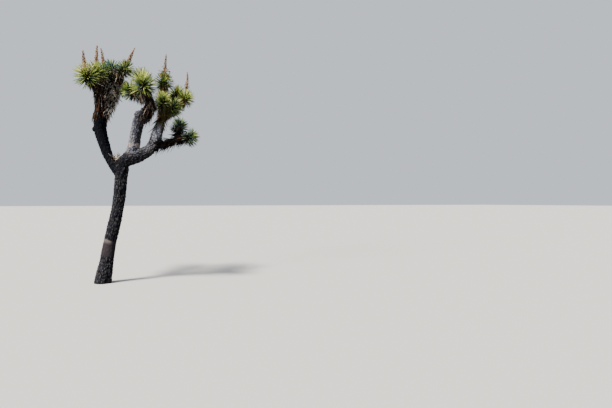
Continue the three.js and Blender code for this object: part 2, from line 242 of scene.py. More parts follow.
# A flower stalk: the joints of its stem with their width in metres at its foot, middle and tip, and
# the branchlets round it with their length in metres at three shares of the stem's length.
STALK_JOINTS = 24
STALK_WIDTHS = ([0, 0.5, 1], [0.034, 0.020, 0.002])
BRANCHLETS = 140
BRANCHLET_LENGTHS = ([0.3, 0.65, 1], [0.084, 0.048, 0.004])
POD_SHARE = 0.7  # of the branchlets, which still have a dry pod

# Spent flowers caught among the leaves round a stalk's foot: their middle and how far they spread,
# in millimetres, their number and their share of each stalk shade.
SPENT_FLOWERS = [
    ((-322, -190, 4165), 44, 150, (0.30, 0.20, 0.20, 0.00, 0.30)),
    ((1206, 150, 4262), 58, 170, (0.14, 0.05, 0.16, 0.62, 0.03)),
    ((455, 400, 4480), 48, 60, (0.30, 0.10, 0.05, 0.50, 0.05)),
]

# Where dead leaves clothe a limb: the share of its length where they start, how many to a square
# metre, their length in millimetres, how far they stand off in degrees, how far they stray to the
# sides in radians, and their mixes of shades at the limb's root and tip.
THATCH = {
    "left_outer_arm": (0.06, 1200, (100, 165), (8, 22), 0.12, "rusty", "rusty"),
    "left_inner_arm": (0.14, 1000, (120, 200), (8, 36), 0.50, "bleached", "bleached"),
    "rear_left_arm": (0.45, 800, (150, 230), (10, 32), 0.25, "dark", "dark"),
    "middle_upper_arm": (0.16, 1100, (120, 200), (8, 28), 0.24, "dark", "dark"),
    "right_upper_arm": (0.62, 950, (140, 230), (10, 38), 0.30, "olive", "olive"),
    "rear_right_arm": (0.55, 800, (150, 230), (10, 32), 0.25, "dark", "dark"),
    "right_low_arm": (0.10, 1150, (110, 190), (18, 45), 0.30, "black", "black"),
}
THATCH_DEPTH = 32  # mm that the wood lies below the outside of its coat of dead leaves
ROOT_DEPTH = 6  # mm that a dead leaf's root lies in the bark
STEM_COAT = 40  # mm from a stem's middle line to the roots of its dead leaves
MIX_CHANGE = 0.4  # share of a limb's length over which its second mix takes over from its first

# Loose tufts of dead leaves: the middle they spring from and how far round it, in millimetres,
# the way they point, their number, length in millimetres, spread in radians and mix of shades.
TUFTS = {
    "left": [
        ((267, 20, 2445), 85, (0.1, -0.4, 0.5), 110, (60, 130), 0.9, "straw"),
        ((218, 420, 4225), 120, (0.1, -0.5, -1.0), 90, (90, 170), 0.35, "dark"),
    ],
    "right": [
        ((690, -575, 3745), 26, (0.14, 0.24, -0.96), 34, (230, 320), 0.05, "straw"),
        ((900, -330, 3560), 60, (0.15, -0.1, -1.0), 110, (120, 200), 0.20, "dark"),
    ],
}

# Where the skin of bark is cut into pieces, in metres: the heights of the level cuts, and a place
# on the steep cut between the two boughs with the direction that faces the right one.
TRUNK_TOP = 2.235
LEFT_TOP = 3.30
RIGHT_TOP = 3.10
FORK = (0.262, 0, 2.30)
RIGHTWARD = (1, 0, -0.176)

FLAKING_RING = (2.67, 2.78)  # metres up, the ring of flaking bark round the foot of the middle arm
PAINTED_LIGHT_SIDE = (-0.55, -0.25, 0.75)  # the way that the painted paler side of the bark faces, towards the main light
SUNK_FOOT = 0.08  # metres that the trunk's foot is drawn down before it is cut off flat
STEM_RADII = (0.050, 0.034)  # metres, of a head's stem at its root and at its tip

# The way that the main light and the low light from the left shine.
KEY_DIRECTION = (0.41, 0.20, -0.89)
FILL_DIRECTION = (0.86, 0.42, -0.32)

# How pale or dark each limb's bark is painted, from its root to its tip: 0 is the trunk's, 1 or more
# the palest and -1 or less the darkest. Below 0 it is painted shade, the blue black of limbs in the
# crown's shadow; above 0 it is partly sun-bleached grey and partly painted sunlight.
BARK_TONES = {
    "trunk": (0.00, -0.10),
    # Painted shade: the left bough and its arms lie in the shadow of the left heads.
    "left_bough": (-0.85, -1.0),
    "left_outer_arm": (-0.9, -0.9),
    "left_inner_arm": (-0.9, -0.9),
    "rear_left_arm": (-0.6, -0.4),
    "right_bough": (-0.50, 0.35),
    "middle_arm": (0.80, 0.20),
    "middle_upper_arm": (0.10, -0.3),
    # Painted sunlight at this arm's pale root, which the heads above shade.
    "right_upper_arm": (1.90, 0.30),
    "rear_right_arm": (0.40, 0.00),
    # Painted shade towards this arm's tip, under the low heads.
    "right_low_arm": (1.0, -2.2),
}


# Large odd numbers that stir a cell's place, so that neighbouring cells get unlike numbers.
CELL_STIRRERS = (73856093, 19349663, 83492791)
SEED_STIRRER = 2654435761
SALTS = (0x9E3779B1, 0x85EBCA77, 0xC2B2AE3D)
LAST_STIRRER = 0x2C1B3C6D

# Seeds of the random draws. Each head, stalk, lot of spent flowers and side has its own.
LEAF_SEED = 400
STALK_SEED = 700
FLOWER_SEED = 800
THATCH_SEEDS = {"left": 904, "right": 905}


# Settings


def srgb(code):
    """A hex sRGB colour as linear red, green and blue."""
    parts = [((code >> shift) & 255) / 255 for shift in (16, 8, 0)]
    return [p / 12.92 if p <= 0.04045 else ((p + 0.055) / 1.055) ** 2.4 for p in parts]


def colour_setting(name, description, code):
    """A colour setting, whose default is given as a hex sRGB colour."""
    return FloatVectorProperty(
        name=name, description=description, default=srgb(code), subtype="COLOR", min=0, max=1
    )


class TreeSizes(bpy.types.PropertyGroup):
    """Sizes of the bark and leaves"""

    bark_step: FloatProperty(
        name="Bark step", description="Spacing of the bark's mesh", default=0.0062, unit="LENGTH"
    )
    skin_growth: FloatProperty(
        name="Skin growth", description="How far the bark's skin is grown", default=0.0045, unit="LENGTH"
    )
    plate_width: FloatProperty(
        name="Plate width", description="Width of a plate of cork", default=0.025, unit="LENGTH"
    )
    plate_length: FloatProperty(
        name="Plate length", description="Length of a plate of cork", default=0.080, unit="LENGTH"
    )
    crack_depth: FloatProperty(
        name="Crack depth", description="Depth of the cracks between plates", default=0.014, unit="LENGTH"
    )
    smooth_band: FloatVectorProperty(
        name="Smooth band",
        description="Lowest and highest part of the trunk's worn band",
        size=2,
        default=(0.49, 0.85),
        unit="LENGTH",
    )
    leaf_width: FloatProperty(
        name="Leaf width", description="Width of a living leaf", default=0.021, unit="LENGTH"
    )
    leaves_per_head: IntProperty(
        name="Leaves per head", description="Living leaves that each head grows", default=150
    )
    stem_thatch: IntProperty(
        name="Stem thatch", description="Dead leaves to a metre of a head's stem", default=420
    )


class LeafShades(bpy.types.PropertyGroup):
    """Shades of living leaf, from pale to dark: partly painted sunlight and painted shade"""

    lime: colour_setting("Lime", "The palest leaves, in full sun", 0xD6DE76)
    yellow_green: colour_setting("Yellow green", "Sunlit leaves", 0xA6BA4A)
    olive: colour_setting("Olive", "Young leaves of an olive head", 0x7C8638)
    leaf_green: colour_setting("Leaf green", "Full-grown leaves", 0x567636)
    blue_green: colour_setting("Blue green", "Leaves with a waxy bloom", 0x64867E)
    deep_green: colour_setting("Deep green", "Leaves shaded by others", 0x34462B)
    night_green: colour_setting("Night green", "The darkest leaves", 0x18231C)


class LeafEnds(bpy.types.PropertyGroup):
    """Shades of a living leaf's two ends"""

    # Painted shade: the base is near black for the shade deep in the heart of a head.
    leaf_base: colour_setting("Leaf base", "The shaded sheath that a leaf widens into", 0x14170C)
    leaf_spine: colour_setting("Leaf spine", "A leaf's hard brown point", 0x6B4C30)


class DeadShades(bpy.types.PropertyGroup):
    """Shades of dead leaf, from pale to dark"""

    straw: colour_setting("Straw", "Leaves that the sun has bleached", 0xDCD2C2)
    tan: colour_setting("Tan", "Dry leaves", 0x8E775C)
    rust: colour_setting("Rust", "Red brown leaves", 0x6C4630)
    dead_olive: colour_setting("Dead olive", "Leaves that died lately", 0x8A7E48)
    grey_brown: colour_setting("Grey brown", "Weathered leaves", 0x564A42)
    umber: colour_setting("Umber", "Old leaves", 0x231A13)
    # Painted shade: the near black of dead leaves that lie in the shade of the heads, on the low arm most
    # of all.
    shadow_black: colour_setting("Charred", "The darkest leaves", 0x0D0A0A)


class StalkShades(bpy.types.PropertyGroup):
    """Shades of the flower stalks and of what still hangs on them"""

    stalk_orange: colour_setting("Stalk orange", "Stems and branchlets", 0xB8957A)
    stalk_tan: colour_setting("Stalk tan", "Paler stems and pods", 0xC2A68A)
    stalk_dark: colour_setting("Stalk dark", "Darker stems and pods", 0x6E5440)
    seed_olive: colour_setting("Seed olive", "Seed heads that are still green", 0x7C7436)
    dry_flower: colour_setting("Dry flower", "Spent flowers", 0xE4D8C0)


class BarkFinish(bpy.types.PropertyGroup):
    """Finish of the bark"""

    roughness: FloatProperty(
        name="Roughness", description="Dullness of the cork", default=0.92, subtype="FACTOR", min=0, max=1
    )
    # From crack to ridge each kind of cork darkens into its cracks, partly as painted shade, and pales on
    # its ridges, partly as painted highlight.
    cork_crack: colour_setting("Cork crack", "Plain cork, deep in a crack", 0x161619)
    cork_low: colour_setting("Cork low", "Plain cork, at a plate's edge", 0x2B2A2E)
    cork_plate: colour_setting("Cork plate", "Plain cork, on a plate", 0x4A494C)
    cork_ridge: colour_setting("Cork ridge", "Plain cork, on a ridge", 0x757375)
    # Blue black cork is painted shade, for limbs in the crown's shadow.
    shaded_crack: colour_setting("Shaded crack", "Blue black cork, deep in a crack", 0x030408)
    shaded_low: colour_setting("Shaded low", "Blue black cork, at a plate's edge", 0x080A12)
    shaded_plate: colour_setting("Shaded plate", "Blue black cork, on a plate", 0x10131F)
    shaded_ridge: colour_setting("Shaded ridge", "Blue black cork, on a ridge", 0x1E2232)
    # Ash grey cork is partly sun-bleached and partly painted sunlight.
    bleached_crack: colour_setting("Bleached crack", "Ash grey cork, deep in a crack", 0x56555A)
    bleached_low: colour_setting("Bleached low", "Ash grey cork, at a plate's edge", 0x94939A)
    bleached_plate: colour_setting("Bleached plate", "Ash grey cork, on a plate", 0xC6C4C6)
    bleached_ridge: colour_setting("Bleached ridge", "Ash grey cork, on a ridge", 0xECEAE8)
    cool_stain: colour_setting("Cool stain", "What the darker patches multiply the bark by", 0xE2E6F6)
    warm_stain: colour_setting("Warm stain", "What the paler patches multiply the bark by", 0xFFFAF4)
    worn_dark: colour_setting("Worn dark", "The trunk's worn band, in its grain", 0x201C1E)
    worn_pale: colour_setting("Worn pale", "The trunk's worn band, on its grain", 0x483F43)
    # Flaking bark; the same colours paint the highlight along the top of the trunk's worn band.
    flake_and_highlight_dark: colour_setting("Flake dark", "Flaking bark, in its grain", 0x928379)
    flake_and_highlight_pale: colour_setting("Flake pale", "Flaking bark, on its grain", 0xCCBCB0)
    coat_dark: colour_setting("Coat dark", "Bark under dead leaves, in its grain", 0x120D0A)
    coat_pale: colour_setting("Coat pale", "Bark under dead leaves, on its grain", 0x30241B)


class TreeStage(bpy.types.PropertyGroup):
    """Camera, lights and floor"""

    camera_distance: FloatProperty(
        name="Camera distance", description="From the trunk's foot", default=10.2257, unit="LENGTH"
    )
    eye_height: FloatProperty(
        name="Eye height", description="Height of the camera", default=1.6, unit="LENGTH"
    )
    camera_turn: FloatProperty(
        name="Camera turn", description="Degrees that the camera looks to the right", default=23.148
    )
    focal_length: FloatProperty(
        name="Focal length", description="Millimetres, on a frame 36 wide", default=28.0
    )
    key_strength: FloatProperty(
        name="Key strength", description="Strength of the main light", default=6.4
    )
    key_softness: FloatProperty(
        name="Key softness", description="Degrees across the main light", default=12.0
    )
    fill_strength: FloatProperty(
        name="Fill strength", description="Strength of the low light from the left", default=3.0
    )
    fill_softness: FloatProperty(
        name="Fill softness", description="Degrees across the low light", default=25.0
    )
    sky_strength: FloatProperty(name="Sky strength", description="Light from the sky", default=0.52)
    key_colour: colour_setting("Key colour", "Colour of the main light", 0xFFFAF0)
    sky_colour: colour_setting("Sky colour", "Colour of the light from the sky", 0xC2D2EE)
    backdrop_colour: colour_setting("Backdrop colour", "What shows behind the tree", 0xDDE4EC)
    floor_colour: colour_setting("Floor colour", "The floor as it shows", 0xD5D1CA)
    floor_glow: colour_setting("Floor glow", "The floor as it throws back light", 0x6E6A64)


# Materials


def add_node(tree, kind, inputs=None, **settings):
    """Adds a shader node, sets its settings and gives its inputs values or links."""
    made = tree.nodes.new(kind)
    for name, value in settings.items():
        setattr(made, name, value)
    for name, value in (inputs or {}).items():
        if isinstance(value, bpy.types.NodeSocket):
            tree.links.new(value, made.inputs[name])
        else:
            made.inputs[name].default_value = value
    return made


def colour_ramp(tree, value, stops):
    """The colour of a ramp over a value, from a list of position and colour."""
    ramp = add_node(tree, "ShaderNodeValToRGB", {"Fac": value})
    elements = ramp.color_ramp.elements
    while len(elements) < len(stops):
        elements.new(0.5)
    for element, (position, colour) in zip(elements, stops):
        element.position = position
        element.color = (*colour, 1)
    return ramp.outputs["Color"]


def mixed(tree, factor, first, second, blend="MIX"):
    """The mix of two colours."""
    inputs = {"Factor": factor, "A": first, "B": second}
    settings = {"data_type": "RGBA", "blend_type": blend}
    return add_node(tree, "ShaderNodeMix", inputs, **settings).outputs["Result"]


def marked(tree, name):
    """The value that the bark's mesh carries under a name."""
    return add_node(tree, "ShaderNodeAttribute", attribute_name=name).outputs["Fac"]


def new_material(name):
    """A node material with nothing in it yet."""
    material = bpy.data.materials.new(name)
    material.use_nodes = True
    material.node_tree.nodes.clear()
    return material


def plain_material(name, colour, roughness, gloss):
    """One plain shade: living leaves are a little waxy, and dead ones and dry stalks quite dull."""
    material = new_material(name)
    tree = material.node_tree
    settings = {
        "Base Color": (*colour, 1),
        "Roughness": roughness,
        "IOR": 1.45,
        "Specular IOR Level": gloss,
    }
    shader = add_node(tree, "ShaderNodeBsdfPrincipled", settings)
    add_node(tree, "ShaderNodeOutputMaterial", {"Surface": shader.outputs["BSDF"]})
    return material


def shade_materials(shades, roughness, gloss):
    """A plain material for each shade of a group of settings."""
    return [
        plain_material(name, getattr(shades, name), roughness, gloss)
        for name in type(shades).__annotations__
    ]


def cork_ramp(tree, level, finish, kind, low, plate):
    """One kind of cork's colour, from the bottom of a crack to the top of a ridge: darker in the crack,
    partly painted shade, and paler on the ridge, partly painted highlight.
    """
    places = {"crack": 0.0, "low": low, "plate": plate, "ridge": 1.0}
    stops = [(at, getattr(finish, f"{kind}_{place}")) for place, at in places.items()]
    return colour_ramp(tree, level, stops)


def bark_material(finish):
    """Corky bark: dry and matte, near black in its cracks, partly as painted shade, brown grey on its
    plates and ash grey on their ridges, partly sun-bleached and partly painted highlight. The bark's tone
    mixes in painted shade, as blue black cork, and painted sunlight, as ash grey cork."""
    material = new_material("corky_bark")
    tree = material.node_tree
    coord = add_node(tree, "ShaderNodeTexCoord").outputs["Object"]
    tone = marked(tree, "tone")
    # Cork grain 14 mm across
    grain = add_node(
        tree,
        "ShaderNodeTexNoise",
        {"Vector": coord, "Scale": 1 / 0.014, "Detail": 5.0, "Roughness": 0.62},
    ).outputs["Fac"]
    # Weathering in patches a hand wide
    patches = add_node(
        tree,
        "ShaderNodeTexNoise",
        {"Vector": coord, "Scale": 1 / 0.11, "Detail": 4.0, "Roughness": 0.55},
    ).outputs["Fac"]
    roughened = add_node(
        tree,
        "ShaderNodeMath",
        {0: grain, 1: 0.6, 2: marked(tree, "relief")},
        operation="MULTIPLY_ADD",
    ).outputs[0]
    level = add_node(tree, "ShaderNodeMath", {0: roughened, 1: 0.3}, operation="SUBTRACT").outputs[0]
    cork = cork_ramp(tree, level, finish, "cork", 0.35, 0.7)
    # Below 0 the tone mixes in blue black cork, painted shade; above 0 ash grey cork, partly painted
    # sunlight.
    shaded = cork_ramp(tree, level, finish, "shaded", 0.4, 0.75)
    bleached = cork_ramp(tree, level, finish, "bleached", 0.3, 0.65)
    darker = add_node(
        tree, "ShaderNodeMath", {0: tone, 1: -1.0}, operation="MULTIPLY", use_clamp=True
    ).outputs[0]
    paler = add_node(
        tree, "ShaderNodeMath", {0: tone, 1: 1.0}, operation="MULTIPLY", use_clamp=True
    ).outputs[0]
    colour = mixed(tree, darker, cork, shaded)
    colour = mixed(tree, paler, colour, bleached)
    stain = colour_ramp(tree, patches, [(0.36, finish.cool_stain), (0.62, finish.warm_stain)])
    colour = mixed(tree, 1.0, colour, stain, "MULTIPLY")
    worn = colour_ramp(tree, grain, [(0.3, finish.worn_dark), (0.7, finish.worn_pale)])
    colour = mixed(tree, marked(tree, "bare"), colour, worn)
    # Flaking bark, and the painted highlight along the top of the worn band.
    flake_and_highlight_colour = colour_ramp(tree, grain, [(0.3, finish.flake_and_highlight_dark), (0.62, finish.flake_and_highlight_pale)])
    colour = mixed(tree, marked(tree, "flaking_and_highlight"), colour, flake_and_highlight_colour)
    under_leaves = colour_ramp(tree, grain, [(0.3, finish.coat_dark), (0.7, finish.coat_pale)])
    colour = mixed(tree, marked(tree, "thatch"), colour, under_leaves)
    bump = add_node(
        tree, "ShaderNodeBump", {"Height": grain, "Strength": 0.7, "Distance": 0.006}
    ).outputs["Normal"]
    shader = add_node(
        tree,
        "ShaderNodeBsdfPrincipled",
        {
            "Base Color": colour,
            "Roughness": finish.roughness,
            "Specular IOR Level": 0.12,
            "Normal": bump,
        },
    )
    add_node(tree, "ShaderNodeOutputMaterial", {"Surface": shader.outputs["BSDF"]})
    return material


# Meshes and lines


def select_only(*objects):
    """Selects these objects alone, the last of them active."""
    if bpy.context.object and bpy.context.object.mode != "OBJECT":
        bpy.ops.object.mode_set(mode="OBJECT")
    bpy.ops.object.select_all(action="DESELECT")
    for thing in objects:
        thing.select_set(True)
        bpy.context.view_layer.objects.active = thing


def apply_modifier(thing, kind, **settings):
    """Adds a modifier, sets it and applies it."""
    select_only(thing)
    modifier = thing.modifiers.new(kind.lower(), kind)
    for name, value in settings.items():
        setattr(modifier, name, value)
    bpy.ops.object.modifier_apply(modifier=modifier.name)


def vertices_of(mesh):
    """A mesh's vertices as an array."""
    places = np.empty(len(mesh.vertices) * 3, np.float32)
    mesh.vertices.foreach_get("co", places)
    return places.reshape(-1, 3).astype(float)


def normals_of(mesh):
    """A mesh's vertex normals as an array."""
    normals = np.empty(len(mesh.vertices) * 3, np.float32)
    mesh.vertex_normals.foreach_get("vector", normals)
    return normals.reshape(-1, 3).astype(float)


def unit(vectors):
    """Vectors at length 1."""
    return vectors / np.maximum(np.linalg.norm(vectors, axis=-1, keepdims=True), 1e-9)


def rise(values, low, high):
    """0 below low, 1 above high and a smooth rise between them."""
    t = np.clip((values - low) / (high - low), 0, 1)
    return t * t * (3 - 2 * t)


def read_off(rows, along, at):
    """The rows of a line read off at given distances along it."""
    return np.column_stack([np.interp(at, along, rows[:, k]) for k in range(rows.shape[1])])


def at_shares(line, shares):
    """The places at shares of a line's length, from its even samples."""
    return read_off(line, np.arange(len(line)), np.asarray(shares) * (len(line) - 1))


def smooth_curve(points, count):
    """Even samples along a smooth curve through points, each row with whatever it carries."""
    rows = np.array(points, float)
    ends = np.vstack([2 * rows[0] - rows[1], rows, 2 * rows[-1] - rows[-2]])
    t = np.linspace(0, 1, 24, endpoint=False)[:, None]
    fine = []
    for a, b, c, d in zip(ends, ends[1:], ends[2:], ends[3:]):
        bend = 2 * a - 5 * b + 4 * c - d
        twist = 3 * b - a - 3 * c + d
        fine.append(b + 0.5 * ((c - a) * t + bend * t**2 + twist * t**3))
    fine = np.vstack([*fine, rows[-1:]])
    steps = np.linalg.norm(np.diff(fine[:, :3], axis=0), axis=1)
    along = np.concatenate([[0], np.cumsum(steps)])
    return read_off(fine, along, np.linspace(0, along[-1], count))


class Skeleton:
    """Samples along every limb, to tell which limb a point of the bark is on and how far along."""

    SAMPLES = 60

    def __init__(self):
        self.names = list(LIMBS)
        places, limb, share, tangent, length, tone = [], [], [], [], [], []
        for index, (name, rows) in enumerate(LIMBS.items()):
            line = smooth_curve(rows, self.SAMPLES) * MM
            reach = np.linalg.norm(np.diff(line[:, :3], axis=0), axis=1).sum()
            places.append(line)
            limb.append(np.full(self.SAMPLES, index))
            share.append(np.linspace(0, 1, self.SAMPLES))
            tangent.append(unit(np.gradient(line[:, :3], axis=0)))
            length.append(np.full(self.SAMPLES, reach))
            tone.append(np.linspace(*BARK_TONES[name], self.SAMPLES))
        self.places = np.vstack(places)
        self.limb = np.concatenate(limb)
        self.share = np.concatenate(share)
        self.tangent = np.vstack(tangent)
        self.length = np.concatenate(length)
        self.tone = np.concatenate(tone)

    def nearest(self, points):
        """For each point, the sample whose limb's surface is nearest, and the bark's tone there,
        blended between limbs where they meet."""
        best = np.zeros(len(points), int)
        tone = np.zeros(len(points))
        for start in range(0, len(points), 20000):
            block = slice(start, start + 20000)
            gaps = np.linalg.norm(points[block, None] - self.places[None, :, :3], axis=2)
            gaps -= self.places[None, :, 3]
            best[block] = np.argmin(gaps, axis=1)
            weight = np.exp((gaps.min(axis=1, keepdims=True) - gaps) / 0.03)
            tone[block] = weight @ np.clip(self.tone, -1, 1) / weight.sum(axis=1)
        return best, tone


def growth_of(name):
    """A head's stem line, the middle of its leaves, its axis and the two directions across that."""
    base, centre, reach, stalk, living, dead = HEADS[name]
    base = np.array(base) * MM
    centre = np.array(centre) * MM
    axis = unit(unit(centre - base) + (0, 0, 0.6))
    east = unit(np.cross(axis, (0.3, 1, 0.1)))
    bend = base + 0.6 * (centre - base) - axis * np.linalg.norm(centre - base) * 0.06
    tip = centre + axis * YOUNGEST_ROOT * MM
    return {
        "stem": smooth_curve([base, bend, tip], 17),
        "centre": centre,
        "axis": axis,
        "east": east,
        "north": np.cross(axis, east),
        "reach": reach * MM,
        "stalk": None if stalk is None else np.array(stalk) * MM,
        "living": HEAD_MIXES[living],
        "dead": DEAD_MIXES[dead],
    }


GROWTHS = {name: growth_of(name) for name in HEADS}
SKELETON = Skeleton()


def hashed(cell, seed):
    """Three repeatable numbers from 0 to 1 for each whole-numbered cell."""
    x, y, z = (cell * CELL_STIRRERS).T
    mixed_up = x ^ y ^ z ^ seed * SEED_STIRRER
    numbers = []
    for salt in SALTS:
        value = (mixed_up * salt) & 0xFFFFFFFF
        value = ((value ^ (value >> 15)) * LAST_STIRRER) & 0xFFFFFFFF
        value = value ^ (value >> 13)
        numbers.append((value & 0xFFFFFF) / 0xFFFFFF)
    return np.column_stack(numbers)


def from_cell_edge(points, seed):
    """For each point, how far it is from the edge of its cell among jittered cells of size 1."""
    base = np.floor(points).astype(np.int64)
    nearest = np.full(len(points), 9.0)
    second = np.full(len(points), 9.0)
    for offset in np.ndindex(3, 3, 3):
        cell = base + np.array(offset) - 1
        heart = cell + 0.5 + 0.8 * (hashed(cell, seed) - 0.5)
        gap = np.linalg.norm(heart - points, axis=1)
        second = np.minimum(second, np.maximum(nearest, gap))
        nearest = np.minimum(nearest, gap)
    return second - nearest


def lumps(points, seed):
    """Smooth repeatable noise from -1 to 1 with lumps of size 1."""
    base = np.floor(points).astype(np.int64)
    part = points - base
    part = part * part * (3 - 2 * part)
    total = np.zeros(len(points))
    for corner in np.ndindex(2, 2, 2):
        offset = np.array(corner)
        weight = np.prod(np.where(offset == 1, part, 1 - part), axis=1)
        total += weight * hashed(base + offset, seed)[:, 0]
    return 2 * total - 1


# Bark


def stem_form(line):
    """A head's stem as a closed tapering tube, to be joined to its arm."""
    bpy.ops.curve.primitive_nurbs_path_add()
    curve = bpy.context.object
    curve.location = (0, 0, 0)
    curve.data.splines.clear()
    spline = curve.data.splines.new("POLY")
    spline.points.add(len(line) - 1)
    for point, place, radius in zip(spline.points, line, np.linspace(*STEM_RADII, len(line))):
        point.co = (*place, 1)
        point.radius = radius
    curve.data.bevel_depth = 1.0
    curve.data.bevel_resolution = 3
    curve.data.use_fill_caps = True
    select_only(curve)
    bpy.ops.object.convert(target="MESH")
    return bpy.context.object


def wood_form():
    """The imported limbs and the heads' stems as one joined, softened skin."""
    sizes = bpy.context.scene.tree_sizes
    copies = []
    for name in LIMBS:
        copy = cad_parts[name].copy()
        copy.data = copy.data.copy()
        copy.parent = None
        copy.modifiers.clear()
        bpy.context.collection.objects.link(copy)
        copies.append(copy)
    copies += [stem_form(growth["stem"]) for growth in GROWTHS.values()]
    select_only(*copies)
    bpy.ops.object.join()
    form = bpy.context.object
    form.name = "wood_form"
    bpy.ops.object.mode_set(mode="EDIT")
    bpy.ops.mesh.select_all(action="SELECT")
    bpy.ops.mesh.remove_doubles(threshold=0.00005)
    bpy.ops.object.mode_set(mode="OBJECT")
    # The flat foot is drawn down below the ground, so that the skin can be cut off flat there.
    for vertex in form.data.vertices:
        if vertex.co.z < 0.001:
            vertex.co.z = -SUNK_FOOT
    apply_modifier(form, "DISPLACE", strength=sizes.skin_growth, mid_level=0.0)
    apply_modifier(form, "REMESH", mode="VOXEL", voxel_size=sizes.bark_step * 2)
    apply_modifier(form, "SMOOTH", factor=0.5, iterations=4)
    apply_modifier(form, "SUBSURF", levels=1, render_levels=1)
    return form


def bark_coordinates(places, sample):
    """Places as across, behind and along their own limb, so that plates lie lengthwise."""
    tangent = SKELETON.tangent[sample]
    offset = places - SKELETON.places[sample, :3]
    slip = np.einsum("ij,ij->i", offset, tangent)
    across = offset - tangent * slip[:, None]
    side = unit(np.cross(tangent, (0.0, 1.0, 0.0)))
    back = np.cross(side, tangent)
    along = SKELETON.share[sample] * SKELETON.length[sample] + slip
    return np.column_stack(
        [
            np.einsum("ij,ij->i", across, side) + 3.1 * SKELETON.limb[sample],
            np.einsum("ij,ij->i", across, back),
            along,
        ]
    )


def thatch_cover(places, sample):
    """How far each place lies under dead leaves, from 0 to 1, and its distance from the nearest
    stem of a head."""
    stem_gap = np.full(len(places), 9.0)
    for growth in GROWTHS.values():
        for point in growth["stem"][5:]:
            stem_gap = np.minimum(stem_gap, np.linalg.norm(places - point, axis=1))
    cover = np.zeros(len(places))
    limb = SKELETON.limb[sample]
    share = SKELETON.share[sample]
    for name, (start, *_) in THATCH.items():
        here = limb == SKELETON.names.index(name)
        cover = np.where(here, rise(share, start - 0.04, start + 0.08), cover)
    return np.maximum(cover, rise(-stem_gap, -0.11, -0.07)), stem_gap


def cork_relief(places, own, sizes):
    """How high each place stands from the bottom of a crack, at 0, to the top of a ridge, at 1:
    plates that lie along the limb, with slivers on them and crumbs all over."""
    wander = np.column_stack([lumps(own * (30, 30, 14) + k * 17.3, 5 + k) for k in range(3)])
    scale = 1 / np.array((sizes.plate_width, sizes.plate_width, sizes.plate_length))
    plates = rise(from_cell_edge(own * scale + 0.45 * wander, 3), 0.02, 0.46)
    slivers = rise(from_cell_edge(own * scale * (1.9, 1.9, 1.3) + 0.5 * wander, 4), 0.0, 0.5)
    crumbs = lumps(places * 120, 9)
    return np.clip(plates * (0.55 + 0.45 * slivers) + 0.12 * crumbs, 0, 1)


def worn_bark(places, normals, own, sample, sizes):
    """How worn the trunk's smooth band is, and how much bark is flaking round the foot of the middle arm,
    together with a painted highlight along the top edge of the band on its side towards the light,
    from 0 to 1."""
    # The band's edges slant down to the right.
    z = places[:, 2] + 0.25 * (places[:, 0] - 0.15) + 0.02 * lumps(own * 12, 31)
    low, high = sizes.smooth_band
    bare = 0.85 * rise(z, low, low + 0.05) * (1 - rise(z, high - 0.04, high))
    # A painted highlight along the top edge of the band, on the side that faces the light.
    ledge = rise(z, high - 0.10, high - 0.03) * (1 - rise(z, high - 0.015, high))
    ledge = ledge * rise(-normals[:, 0], -0.3, 0.2)
    ring = (sample // Skeleton.SAMPLES) == SKELETON.names.index("middle_arm")
    low, high = FLAKING_RING
    ring = ring * rise(places[:, 2], low, low + 0.02) * (1 - rise(places[:, 2], high - 0.02, high))
    streaks = rise(lumps(own * (36, 36, 10), 12), -0.15, 0.1)
    return bare, np.clip(0.9 * ring * streaks + 0.24 * ledge, 0, 1)


def carve_bark(form):
    """Cuts the corky plates and cracks into the skin and notes what each place is made of."""
    sizes = bpy.context.scene.tree_sizes
    mesh = form.data
    places = vertices_of(mesh)
    normals = normals_of(mesh)
    sample, tone = SKELETON.nearest(places)
    thatch, stem_gap = thatch_cover(places, sample)
    # On pale limbs the paleness is painted on top and on the side towards the main light, and fades to
    # plain cork beneath and on the far side: painted light and painted shade.
    lit_side_facing = normals @ unit(np.array(PAINTED_LIGHT_SIDE))
    tone = np.where(tone > 0, tone * (0.2 + 0.8 * rise(lit_side_facing, -0.5, 0.35)), tone)
    own = bark_coordinates(places, sample)
    relief = cork_relief(places, own, sizes)
    bare, flaking_and_highlight = worn_bark(places, normals, own, sample, sizes)
    depth = sizes.crack_depth * (1 - 0.6 * thatch) * (1 - 0.85 * bare)
    move = (relief - 0.6) * depth + 0.006 * lumps(own * (9, 9, 6), 8) * (1 - bare)
    knob_gap = np.min([np.linalg.norm(places - np.array(knob) * MM, axis=1) for knob in KNOBS], axis=0)
    move -= THATCH_DEPTH * MM * thatch * rise(stem_gap, 0.06, 0.14) * rise(knob_gap, 0.08, 0.14)
    level_out = rise(places[:, 2], 0.0, 0.03)
    normals[:, 2] *= level_out
    moved = places + normals * move[:, None]
    mesh.vertices.foreach_set("co", moved.astype(np.float32).ravel())
    marks = {"relief": relief, "tone": tone, "thatch": thatch, "bare": bare, "flaking_and_highlight": flaking_and_highlight}
    for name, values in marks.items():
        attribute = mesh.attributes.new(name, "FLOAT", "POINT")
        attribute.data.foreach_set("value", values.astype(np.float32))
    mesh.update()


def cut_piece(form, name, planes):
    """A closed copy of the part of the form that lies behind every one of the planes."""
    piece = form.copy()
    piece.data = form.data.copy()
    piece.name = name
    piece.data.name = name
    bpy.context.collection.objects.link(piece)
    select_only(piece)
    bpy.ops.object.mode_set(mode="EDIT")
    for place, outward in planes:
        bpy.ops.mesh.select_all(action="SELECT")
        bpy.ops.mesh.bisect(plane_co=place, plane_no=outward, use_fill=True, clear_outer=True)
    bpy.ops.object.mode_set(mode="OBJECT")
    bpy.ops.object.shade_smooth()
    return piece


